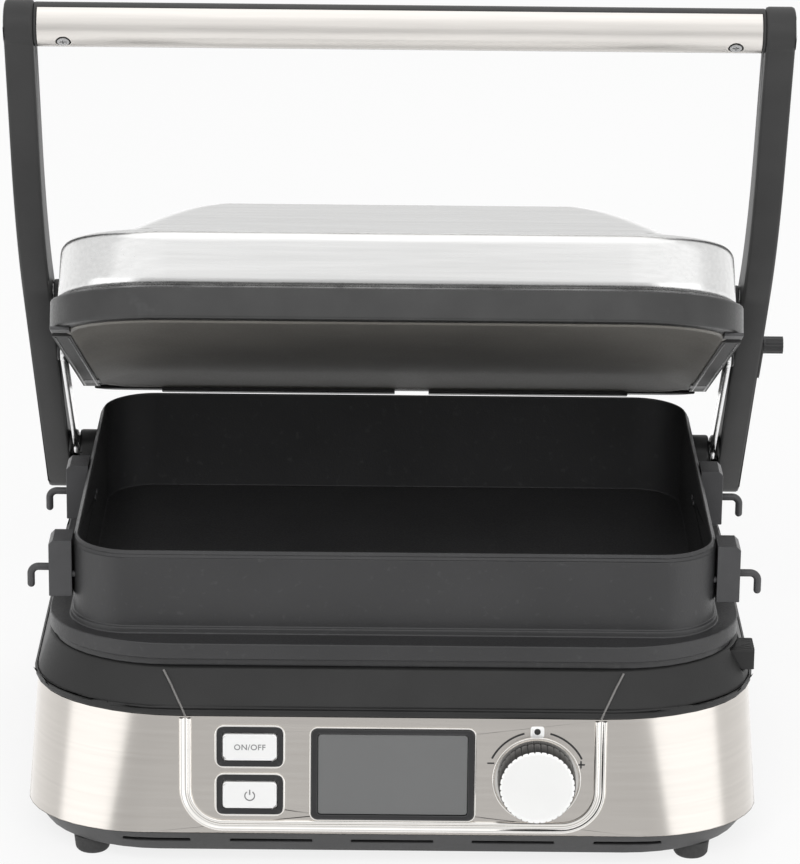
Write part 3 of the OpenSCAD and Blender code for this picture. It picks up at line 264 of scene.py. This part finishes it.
M = {
    "wrap_steel": finish_material(
        "wrap_steel", (0.70, 0.665, 0.625, 1), 0.18, 1.0, BRUSHED_ROUND, 0.025, 500, 1500, 0.02, 0.02),
    "lid_steel": finish_material(
        "lid_steel", (0.80, 0.80, 0.795, 1), 0.24, 1.0, BRUSHED_X, 0.04, 500, 1500, 0.05, 0.04),
    "bar_steel": finish_material(
        "bar_steel", (0.80, 0.77, 0.735, 1), 0.36, 1.0, BRUSHED_X, 0.04, 500, 1500, 0.04, 0.04),
    "bright_steel": finish_material(
        "bright_steel", (0.82, 0.82, 0.82, 1), 0.16, 1.0, (1, 1, 1), 0.06, 60, 1200, 0.06, 0.05),
    "screw_steel": finish_material(
        "screw_steel", (0.55, 0.55, 0.55, 1), 0.3, 1.0, (1, 1, 1), 0.08, 200, 1200, 0.1, 0.06),
    "trim_chrome": finish_material(
        "trim_chrome", (0.84, 0.82, 0.79, 1), 0.12, 1.0, (1, 1, 1), 0.05, 40, 1200, 0.04, 0.03),
    "key_silver": finish_material(
        "key_silver", (0.85, 0.85, 0.845, 1), 0.3, 0.3, (1, 1, 1), 0.02, 40, 1400, 0.01, 0.01),
    "arm_plastic": finish_material(
        "arm_plastic", (0.034, 0.034, 0.034, 1), 0.46, 0.0, (1, 1, 1), 0.10, 40, 1500, 0.14, 0.05,
        specular=0.28),
    "housing_plastic": finish_material(
        "housing_plastic", (0.017, 0.017, 0.017, 1), 0.46, 0.0, (1, 1, 1), 0.10, 40, 1700, 0.18, 0.06,
        specular=0.35),
    "base_plastic": finish_material(
        "base_plastic", (0.05, 0.05, 0.051, 1), 0.5, 0.0, (1, 1, 1), 0.12, 40, 1500, 0.2, 0.06),
    "feet_rubber": finish_material(
        "feet_rubber", (0.035, 0.035, 0.035, 1), 0.7, 0.0, (1, 1, 1), 0.15, 60, 900, 0.3, 0.08),
    "pan_coating": finish_material(
        "pan_coating", (0.027, 0.027, 0.028, 1), 0.4, 0.0, (1, 1, 1), 0.10, 25, 1100, 0.25, 0.07,
        spots=(260, 0.62, 0.75, (0.043, 0.043, 0.044, 1))),
    "black_metal": finish_material(
        "black_metal", (0.045, 0.045, 0.047, 1), 0.38, 0.0, (1, 1, 1), 0.12, 60, 1300, 0.2, 0.08),
    # The band's lighter mottled spots are partly random mottling of its coating and partly painted sheen,
    # standing in for its mottled silvery highlights.
    "band_mottle_and_sheen": finish_material(
        "band_mottle_and_sheen", (0.036, 0.036, 0.036, 1), 0.36, 0.2, (1, 1, 1), 0.12, 60, 900, 0.12, 0.06,
        spots=(70, 0.62, 0.85, (0.07, 0.07, 0.072, 1))),
    "plate_coating": finish_material(
        "plate_coating", (0.21, 0.20, 0.183, 1), 0.5, 0.0, (1, 1, 1), 0.10, 20, 1000, 0.12, 0.06,
        spots=(60, 0.60, 0.9, (0.25, 0.243, 0.228, 1)), specular=0.3),
    "gloss_black": finish_material(
        "gloss_black", (0.02, 0.02, 0.021, 1), 0.16, 0.0, (1, 1, 1), 0.1, 60, 1200, 0.03, 0.03),
    "window_grey": finish_material(
        "window_grey", (0.135, 0.137, 0.137, 1), 0.3, 0.0, (1, 1, 1), 0.02, 18, 1400, 0.01, 0.01),
    "display_grey": finish_material(
        "display_grey", (0.2, 0.21, 0.2, 1), 0.4, 0.0, (1, 1, 1), 0.04, 40, 1200, 0.05, 0.05),
    "circuit_board": finish_material(
        "circuit_board", (0.03, 0.16, 0.07, 1), 0.45, 0.0, (1, 1, 1), 0.2, 300, 1200, 0.1, 0.08),
    "bare_aluminium": finish_material(
        "bare_aluminium", (0.62, 0.62, 0.63, 1), 0.35, 1.0, (1, 1, 1), 0.08, 60, 900, 0.15, 0.08),
    "heater_tube": finish_material(
        "heater_tube", (0.16, 0.15, 0.14, 1), 0.45, 0.8, (1, 1, 1), 0.2, 90, 900, 0.2, 0.1),
    "tray_coating": finish_material(
        "tray_coating", (0.06, 0.06, 0.06, 1), 0.4, 0.1, (1, 1, 1), 0.12, 60, 900, 0.2, 0.08),
    "seam_metal": finish_material(
        "seam_metal", (0.16, 0.16, 0.16, 1), 0.3, 0.9, (1, 1, 1), 0.5, 60, 900, 0.3, 0.12),
    "key_ink": finish_material(
        "key_ink", (0.16, 0.16, 0.165, 1), 0.5, 0.0, (1, 1, 1), 0.2, 200, 1400, 0.05, 0.05),
    "dial_dark": finish_material(
        "dial_dark", (0.05, 0.05, 0.05, 1), 0.35, 0.6, (1, 1, 1), 0.2, 90, 1200, 0.1, 0.08),
    "dial_bright": finish_material(
        "dial_bright", (0.92, 0.92, 0.91, 1), 0.32, 0.5, (1, 1, 1), 0.01, 60, 1300, 0.01, 0.01),
    # Grey of the housing's crease lines: a painted highlight along the creases, much lighter than the
    # black housing.
    "crease_highlight_grey": finish_material(
        "crease_highlight_grey", (0.16, 0.155, 0.15, 1), 0.3, 0.0, (1, 1, 1), 0.1, 60, 1300, 0.05, 0.05),
    "print_ink": finish_material(
        "print_ink", (0.02, 0.02, 0.02, 1), 0.5, 0.0, (1, 1, 1), 0.15, 200, 1400, 0.05, 0.05),
}

NODE_MATERIALS = {
    "bottom_shell": "base_plastic", "feet": "feet_rubber", "foot_screws": "screw_steel",
    "steel_wrap": "wrap_steel", "upper_housing": "housing_plastic", "control_bead": "trim_chrome",
    "key_frames": "gloss_black", "display_bezel": "gloss_black", "display_window": "window_grey",
    "display_module": "display_grey", "dial_collar": "trim_chrome", "encoder_body": "bare_aluminium",
    "control_board": "circuit_board", "key_switches": "gloss_black", "power_board": "circuit_board",
    "lower_reflector": "bare_aluminium", "lower_element": "heater_tube",
    "lower_thermostat": "bare_aluminium", "left_hinge_tower": "housing_plastic",
    "right_hinge_tower": "housing_plastic", "hinge_pins": "bright_steel", "link_pins": "bright_steel",
    "cord_gland": "feet_rubber", "tray_rails": "bare_aluminium", "upper_key": "key_silver",
    "power_key": "key_silver", "dial_knob": "bright_steel", "dial_shaft": "screw_steel",
    "release_button": "housing_plastic", "release_latch": "bare_aluminium",
    "drip_tray": "tray_coating", "tray_handle": "housing_plastic", "bake_pan": "pan_coating",
    "pan_brackets": "black_metal", "pan_hooks": "black_metal", "pan_rivets": "black_metal",
    "left_arm": "arm_plastic", "right_arm": "arm_plastic", "handle_core": "arm_plastic",
    "handle_sleeve": "bar_steel", "handle_screws": "screw_steel", "lid_pivot_pins": "bright_steel",
    "adjuster_knob": "gloss_black", "adjuster_plate": "arm_plastic", "lid_cover": "lid_steel",
    "lid_band": "band_mottle_and_sheen", "upper_plate": "plate_coating", "upper_reflector": "bare_aluminium",
    "upper_element": "heater_tube", "upper_thermostat": "bare_aluminium", "rear_rail": "housing_plastic",
    "plate_clips": "black_metal", "lid_bosses": "arm_plastic", "link_studs": "gloss_black",
    "left_link": "bright_steel", "right_link": "bright_steel",
}


def dress_nodes():
    for name, obj in nodes.items():
        mat = M[NODE_MATERIALS[name]]
        if not obj.material_slots:
            obj.data.materials.append(mat)
        for slot in obj.material_slots:
            slot.material = mat


# Width in millimetres of the round that each solid's edges get; the others stay as packed
EDGE_ROUNDS = {
    "left_arm": 1.6, "right_arm": 1.6, "handle_core": 0.6, "handle_sleeve": 0.25, "steel_wrap": 0.35,
    "upper_housing": 1.2, "bottom_shell": 0.6, "feet": 0.6, "lid_band": 1.6, "bake_pan": 0.7,
    "pan_brackets": 0.35, "left_hinge_tower": 1.4, "right_hinge_tower": 1.4, "left_link": 0.4,
    "right_link": 0.4, "lid_bosses": 0.8, "rear_rail": 0.5, "plate_clips": 0.3, "adjuster_knob": 0.2,
    "adjuster_plate": 0.4, "upper_key": 0.45, "power_key": 0.45, "key_frames": 0.15, "display_bezel": 0.45,
    "display_window": 0.2, "release_button": 0.8, "tray_handle": 1.0, "drip_tray": 0.5,
    "cord_gland": 0.5, "link_studs": 0.3,
}


def round_edges(obj, width):
    """Joined vertices, rounded edges and even shading, as modifiers on a solid."""
    for polygon in obj.data.polygons:
        polygon.use_smooth = True
    weld = obj.modifiers.new("weld", "WELD")
    weld.merge_threshold = 2e-6
    bevel = obj.modifiers.new("edges", "BEVEL")
    bevel.width = width * MM
    bevel.segments = 2
    bevel.limit_method = "ANGLE"
    bevel.angle_limit = math.radians(32)
    bevel.use_clamp_overlap = False
    bevel.miter_outer = "MITER_ARC"
    even = obj.modifiers.new("shading", "WEIGHTED_NORMAL")
    even.mode = "FACE_AREA"
    even.weight = 50


# ------------------------------------------------------------------------- mesh of new pieces

# Frames of the model in millimetres. On the panel x is right, y up and z out of it; on the lid
# x is right, y goes from its front edge to the back and z from its lower edge to the top.
PANEL_SLOPE = 86.055
LID_TILT = 23.8
BASE = Matrix.Identity(4)
ON_PANEL = Matrix.Translation((0, -167, 49)) @ Matrix.Rotation(math.radians(PANEL_SLOPE), 4, "X")
ON_LID = (Matrix.Translation((0, 17.558, 233.375)) @ Matrix.Rotation(math.radians(-LID_TILT), 4, "X")
          @ Matrix.Translation((0, -149, -33)))


def add_piece(name, parts, place, mat, body, replaces=(), sharp=40):
    """Piece from (points, faces) parts given in millimetres of a frame, riding on a body."""
    points, faces = [], []
    for part_points, part_faces in parts:
        base = len(points)
        points += [place @ Vector(p) * MM for p in part_points]
        faces += [tuple(base + i for i in face) for face in part_faces]
    mesh = bpy.data.meshes.new(name)
    mesh.from_pydata(points, [], faces)
    shell = bmesh.new()
    shell.from_mesh(mesh)
    bmesh.ops.recalc_face_normals(shell, faces=shell.faces)
    shell.to_mesh(mesh)
    shell.free()
    for polygon in mesh.polygons:
        polygon.use_smooth = True
    mesh.set_sharp_from_angle(angle=math.radians(sharp))
    piece = bpy.data.objects.new(name, mesh)
    bpy.context.scene.collection.objects.link(piece)
    mesh.materials.append(M[mat])
    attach(piece, body)
    if replaces:
        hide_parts(*replaces)
    return piece


def loft(rings, ring_closed=True, ends_closed=False, looped=False):
    """Skin through rings that have the same number of points."""
    count = len(rings[0])
    points = [p for ring in rings for p in ring]
    faces = []
    for i in range(len(rings) if looped else len(rings) - 1):
        a, b = i * count, (i + 1) % len(rings) * count
        for j in range(count if ring_closed else count - 1):
            k = (j + 1) % count
            faces.append((a + j, a + k, b + k, b + j))
    if ends_closed:
        faces.append(tuple(range(count - 1, -1, -1)))
        faces.append(tuple(range(len(points) - count, len(points))))
    return points, faces


def outline(w, d, front, back, cx=0.0, cy=0.0, steps=12):
    """Rounded rectangle. front is the corners' size (across, along) at low y, back their radius."""
    corners = ((1, 1, back, back, 0), (-1, 1, back, back, 90),
               (-1, -1, front[0], front[1], 180), (1, -1, front[0], front[1], 270))
    ring = []
    for sx, sy, rx, ry, begin in corners:
        for i in range(steps + 1):
            turn = math.radians(begin + 90 * i / steps)
            ring.append((cx + sx * (w / 2 - rx) + rx * math.cos(turn),
                         cy + sy * (d / 2 - ry) + ry * math.sin(turn)))
    return ring


def at_height(ring, z):
    return [(x, y, z) for x, y in ring]


def tube(path, radius, sides=10, closed=False, up=(0, 0, 1)):
    """Round bar along a path."""
    up = Vector(up)
    path = [Vector(p) for p in path]
    rings = []
    for i, p in enumerate(path):
        before = path[i - 1] if (i or closed) else p
        after = path[(i + 1) % len(path)] if (i < len(path) - 1 or closed) else p
        along = (after - before).normalized()
        side = along.cross(up).normalized()
        over = side.cross(along)
        rings.append([tuple(p + side * radius * math.cos(t) + over * radius * math.sin(t))
                      for t in (2 * math.pi * k / sides for k in range(sides))])
    return loft(rings, ends_closed=not closed, looped=closed)


def arc(cx, cy, r, begin, end, z, steps=12):
    """Points of an arc; angles in degrees from straight up, positive to the right."""
    turns = (math.radians(begin + (end - begin) * i / steps) for i in range(steps + 1))
    return [(cx + r * math.sin(t), cy + r * math.cos(t), z) for t in turns]


def strip(path, width, z0, z1):
    """Flat printed line of a width along a path in a plane."""
    low_rings = []
    for i, p in enumerate(path):
        a, b = Vector(path[max(i - 1, 0)][:2]), Vector(path[min(i + 1, len(path) - 1)][:2])
        across = (b - a).normalized().orthogonal() * width / 2
        low_rings.append([(p[0] + across.x, p[1] + across.y, z0), (p[0] - across.x, p[1] - across.y, z0),
                          (p[0] - across.x, p[1] - across.y, z1), (p[0] + across.x, p[1] + across.y, z1)])
    return loft(low_rings, ends_closed=True)


def lathe(profile, sides=96, cx=0.0, cy=0.0, notch=None):
    """Turned shape from (radius, z) pairs; notch(turn) shortens the radii of the marked points."""
    rings = []
    for r, z in profile:
        ring = []
        for i in range(sides):
            t = 2 * math.pi * i / sides
            cut = notch(t) if notch and r > 17 else 0.0
            ring.append((cx + (r - cut) * math.cos(t), cy + (r - cut) * math.sin(t), z))
        rings.append(ring)
    return loft(rings, ends_closed=True)


def ridge(path, profile, z=0.0):
    """Raised moulding along a path in a plane, from (offset, height) pairs."""
    rings = []
    for i, p in enumerate(path):
        a, b = Vector(path[max(i - 1, 0)][:2]), Vector(path[min(i + 1, len(path) - 1)][:2])
        across = (b - a).normalized().orthogonal()
        rings.append([(p[0] + across.x * o, p[1] + across.y * o, z + h) for o, h in profile])
    return loft(rings, ring_closed=False)


# ------------------------------------------------------------------------------ the lid's pieces

LID_W, LID_D = 332.0, 290.0


def lid_skin():
    """Brushed cover: upright walls, a round shoulder, and a raised top with hollow sides."""
    rings = []

    def wall(inward, z):
        corner = (55 - inward, 55 - inward)
        rings.append(at_height(outline(325 - 2 * inward, 280 - 2 * inward, corner, max(19 - inward, 6),
                                       cy=LID_D / 2), z))

    for inward, z in ((0, 15), (0.3, 22), (0.6, 30), (1.0, 37)):
        wall(inward, z)
    for i in range(1, 9):
        turn = math.radians(90 * i / 8)
        wall(1.0 + 7.0 * (1 - math.cos(turn)), 37 + 7.0 * math.sin(turn))
    for i in range(13):
        rise = i / 12
        half = 127.5 - 35 * (1 - (1 - rise) ** (1 / 1.45))
        front = 13.5 + 31.5 * rise
        back = 265 - 30 * rise
        rings.append(at_height(outline(2 * half, back - front, (12, 12), 12, cy=(front + back) / 2),
                               44.2 + 17.0 * rise))
    for inward, z in ((1.2, 61.5), (3, 61.7), (40, 61.75)):
        rings.append(at_height(outline(185 - 2 * inward, 190 - 2 * inward, (11, 11), 11, cy=140), z))
    points, faces = loft(rings)
    faces.append(tuple(range(len(points) - len(rings[0]), len(points))))
    piece = add_piece("lid_skin", [(points, faces)], ON_LID, "lid_steel", "lid",
                      ("lid_cover",), sharp=60)
    thick = piece.modifiers.new("sheet", "SOLIDIFY")
    thick.thickness = 0.8 * MM
    thick.offset = -1.0


def plate_dish():
    """Coated upper plate: one shallow dish that starts at the band's lower edge."""
    rings = []
    for inward, z in ((0.2, 13.5), (0.2, 0.6), (1.0, 0.3), (2.2, 0.8), (5, 2.6), (9, 4.8), (14, 6.6),
                      (20, 8.0), (28, 9.0), (40, 9.7), (60, 10.2), (110, 10.4)):
        corner = (max(49 - inward, 6), max(49 - inward, 6))
        ring = outline(LID_W - 18 - 2 * inward, LID_D - 18 - 2 * inward, corner,
                       max(22 - 0.2 * inward, 8), cy=LID_D / 2)
        # The dish gets shallow towards the back
        share = [min(1.0, max(0.0, (y - 80) / 196)) for _, y in ring]
        rings.append([(x, y, z if z > 13 or z < 1 else 0.8 + (z - 0.8) * (1 - 0.75 * back))
                      for (x, y), back in zip(ring, share)])
    points, faces = loft(rings)
    faces.append(tuple(range(len(points) - len(rings[0]), len(points))))
    piece = add_piece("plate_dish", [(points, faces)], ON_LID, "plate_coating", "lid",
                      ("upper_plate",), sharp=60)
    thick = piece.modifiers.new("casting", "SOLIDIFY")
    thick.thickness = 1.2 * MM
    thick.offset = 1.0


def lid_trim():
    """Seam over the band, and dark rails under the lid's sides with two thin lines of lighter metal along
    their edges as painted highlights of the rails' rounded edges.
    """
    seam = outline(325.6, 280.6, (55, 55), 19, cy=LID_D / 2, steps=16)
    add_piece("lid_seam", [tube(at_height(seam, 15.4), 0.8, 8, closed=True)], ON_LID,
              "seam_metal", "lid")
    rails, lines = [], []
    for sx in (-1, 1):
        section = [(156, -1.5), (165, -1.5), (165, 0), (156, 0)]
        rails.append(loft([[(sx * x, y, z) for x, z in section] for y in (60, 61, 271, 272)],
                          ends_closed=True))
        # Thin tubes of lighter metal along the rail's two edges: partly rounded edges, partly painted
        # highlight lines.
        for x in (157.4, 163.6):
            lines.append(tube([(sx * x, y, -1.5) for y in range(64, 269, 12)], 0.4, 8))
    add_piece("lid_side_rails", rails, ON_LID, "arm_plastic", "lid")
    add_piece("lid_rail_highlight_lines", lines, ON_LID, "seam_metal", "lid")


# ---------------------------------------------------------------------------- the base's pieces

# Middles of the dial and of the two keys on the panel, and the printed scale's radius and height
DIAL_X, DIAL_Y = 68.0, -1
KEY_X, UPPER_KEY_Y, POWER_KEY_Y = -67.5, 14.3, -9.4
SCALE_R, INK = 23.6, 0.12


def bead_path(bottom=-25.0, half=98.0, r=18.0, top=28.0):
    path = [(-half, top - i * (top - bottom - r) / 6) for i in range(6)]
    path += [(x, y) for x, y, _ in arc(-half + r, bottom + r, r, -90, -180, 0, 14)]
    path += [(-half + r + i * (2 * half - 2 * r) / 8, bottom) for i in range(1, 8)]
    path += [(x, y) for x, y, _ in arc(half - r, bottom + r, r, 180, 90, 0, 14)]
    path += [(half, bottom + r + i * (top - bottom - r) / 6) for i in range(1, 7)]
    return path


def panel_bead():
    """Double line pressed up round three sides of the panel."""
    half = ((0.7, 0.3), (1.2, 0.8), (1.6, 1.15), (2.2, 1.1), (2.6, 0.7), (2.9, 0.1), (3.0, -0.3))
    profile = [(-o, h) for o, h in reversed(half)] + [(0, 0.1)] + list(half)
    add_piece("panel_bead", [ridge(bead_path(), profile)], ON_PANEL, "trim_chrome", "base",
              ("control_bead",), sharp=80)


def panel_rims():
    """Bright lines round the key frames and the display, and the raised mark over the dial."""
    parts = []
    for y in (UPPER_KEY_Y, POWER_KEY_Y):
        path = at_height(outline(32.3, 20.4, (4.2, 4.2), 4.2, cx=KEY_X, cy=y, steps=6), 0.35)
        parts.append(tube(path, 0.62, 8, closed=True))
    path = at_height(outline(77.8, 45.8, (3.4, 3.4), 3.4, cy=1, steps=6), 0.3)
    parts.append(tube(path, 0.5, 8, closed=True))
    path = arc(DIAL_X, DIAL_Y, 20.6, 0, 357.5, 0.3, 95)
    parts.append(tube(path, 0.5, 8, closed=True))
    add_piece("panel_rims", parts, ON_PANEL, "trim_chrome", "base", sharp=80)
    tab = outline(6.4, 5.6, (1.2, 1.2), 1.2, cx=DIAL_X, cy=22.6, steps=5)
    inner = outline(5.4, 4.6, (1.0, 1.0), 1.0, cx=DIAL_X, cy=22.6, steps=5)
    add_piece("dial_tab", [loft([at_height(tab, -0.2), at_height(tab, 0.5), at_height(inner, 0.8)],
                                ends_closed=True)], ON_PANEL, "key_silver", "base")


def panel_print():
    """Printed scale round the dial: two arcs, minus, plus and the index dot."""
    parts = [strip(arc(DIAL_X, DIAL_Y, SCALE_R, -64, -15, 0, 14), 0.9, 0.0, INK),
             strip(arc(DIAL_X, DIAL_Y, SCALE_R, 15, 64, 0, 14), 0.9, 0.0, INK),
             strip([(44.6, 7.0, 0), (47.9, 7.0, 0)], 0.7, 0.0, INK),
             strip([(87.0, 6.6, 0), (90.7, 6.6, 0)], 0.75, 0.0, INK),
             strip([(88.85, 4.8, 0), (88.85, 8.4, 0)], 0.75, 0.0, INK)]
    parts.append(lathe([(1.5, 0.75), (1.5, 0.95), (1.2, 1.05)], 32, DIAL_X, 23.0))
    add_piece("panel_print", parts, ON_PANEL, "print_ink", "base")


def key_marks():
    """ON/OFF on the upper key and a power sign on the lower one, raised a hair's width."""
    face_z, print_z = 2.0, 2.08
    curve = bpy.data.curves.new("letters", "FONT")
    curve.body = "ON/OFF"
    curve.size = 3.9
    curve.align_x, curve.align_y = "CENTER", "CENTER"
    curve.extrude = 0.03
    curve.space_character = 1.08
    curve.offset = 0.03
    letters = bpy.data.objects.new("letters", curve)
    bpy.context.scene.collection.objects.link(letters)
    flat = letters.to_mesh()
    points = [(v.co.x + KEY_X, v.co.y + UPPER_KEY_Y, v.co.z + print_z) for v in flat.vertices]
    faces = [tuple(p.vertices) for p in flat.polygons]
    letters.to_mesh_clear()
    bpy.data.objects.remove(letters)
    add_piece("upper_key_letters", [(points, faces)], ON_PANEL, "key_ink", "upper_key_body")
    sign = [strip(arc(KEY_X, -9.6, 2.3, 35, 325, 0, 24), 0.55, face_z, print_z),
            strip([(KEY_X, -9.2, 0), (KEY_X, -6.6, 0)], 0.55, face_z, print_z)]
    add_piece("power_key_sign", sign, ON_PANEL, "key_ink", "power_key_body")


def dial_pieces():
    """Dark knurled grip and its bright face."""
    pitch = 2 * math.pi / 36

    def notch(turn):
        away = abs((turn / pitch) % 1 - 0.5)
        return 0.55 * max(0.0, 1 - away / 0.17)

    grip = [(16.8, 1.6), (18.3, 1.6), (18.5, 2.2), (18.1, 10.6), (17.6, 11.6), (16.0, 11.7)]
    add_piece("dial_grip", [lathe(grip, 36 * 12, DIAL_X, DIAL_Y, notch)], ON_PANEL, "dial_dark", "dial",
              ("dial_knob",), sharp=50)
    face = [(17.5, 11.4), (17.62, 11.9), (17.3, 12.3), (16.6, 12.5), (15.5, 12.55), (8, 12.6), (0.5, 12.6)]
    add_piece("dial_face", [lathe(face, 36 * 12, DIAL_X, DIAL_Y, notch)], ON_PANEL, "dial_bright", "dial",
              sharp=50)


def housing_creases():
    """Two raised lines from the bead's ends up the sloping housing, coloured grey as a painted highlight
    along the creases.
    """
    parts = []
    for sx in (-1, 1):
        path = [(sx * 98.0, -166.3, 78.6), (sx * 98.6, -166.4, 80.4), (sx * 99.4, -165.6, 82.0),
                (sx * 101.5, -163.9, 86.0), (sx * 104.8, -161.0, 92.4), (sx * 108.4, -158.0, 98.6)]
        parts.append(tube(path, 0.55, 8))
    add_piece("housing_creases", parts, BASE, "crease_highlight_grey", "base", sharp=80)


bpy.context.scene.view_settings.view_transform = "Standard"
make_camera()
make_world()
make_lamp("key_lamp", (-0.5, -2.2, 1.9), (0, 0, 0.15), (1.4, 1.4), 34)
make_lamp("fill_lamp", (0.6, -2.1, 1.4), (0, 0, 0.15), (1.2, 1.2), 18)
make_lamp("back_lamp", (0.3, 1.7, 2.0), (0, 0, 0.15), (1.4, 1.4), 18)
make_floor()
dress_nodes()
for node_name, edge_width in EDGE_ROUNDS.items():
    round_edges(nodes[node_name], edge_width)
for make_pieces in (lid_skin, plate_dish, lid_trim, panel_bead, panel_rims, panel_print, key_marks,
                    dial_pieces, housing_creases):
    make_pieces()
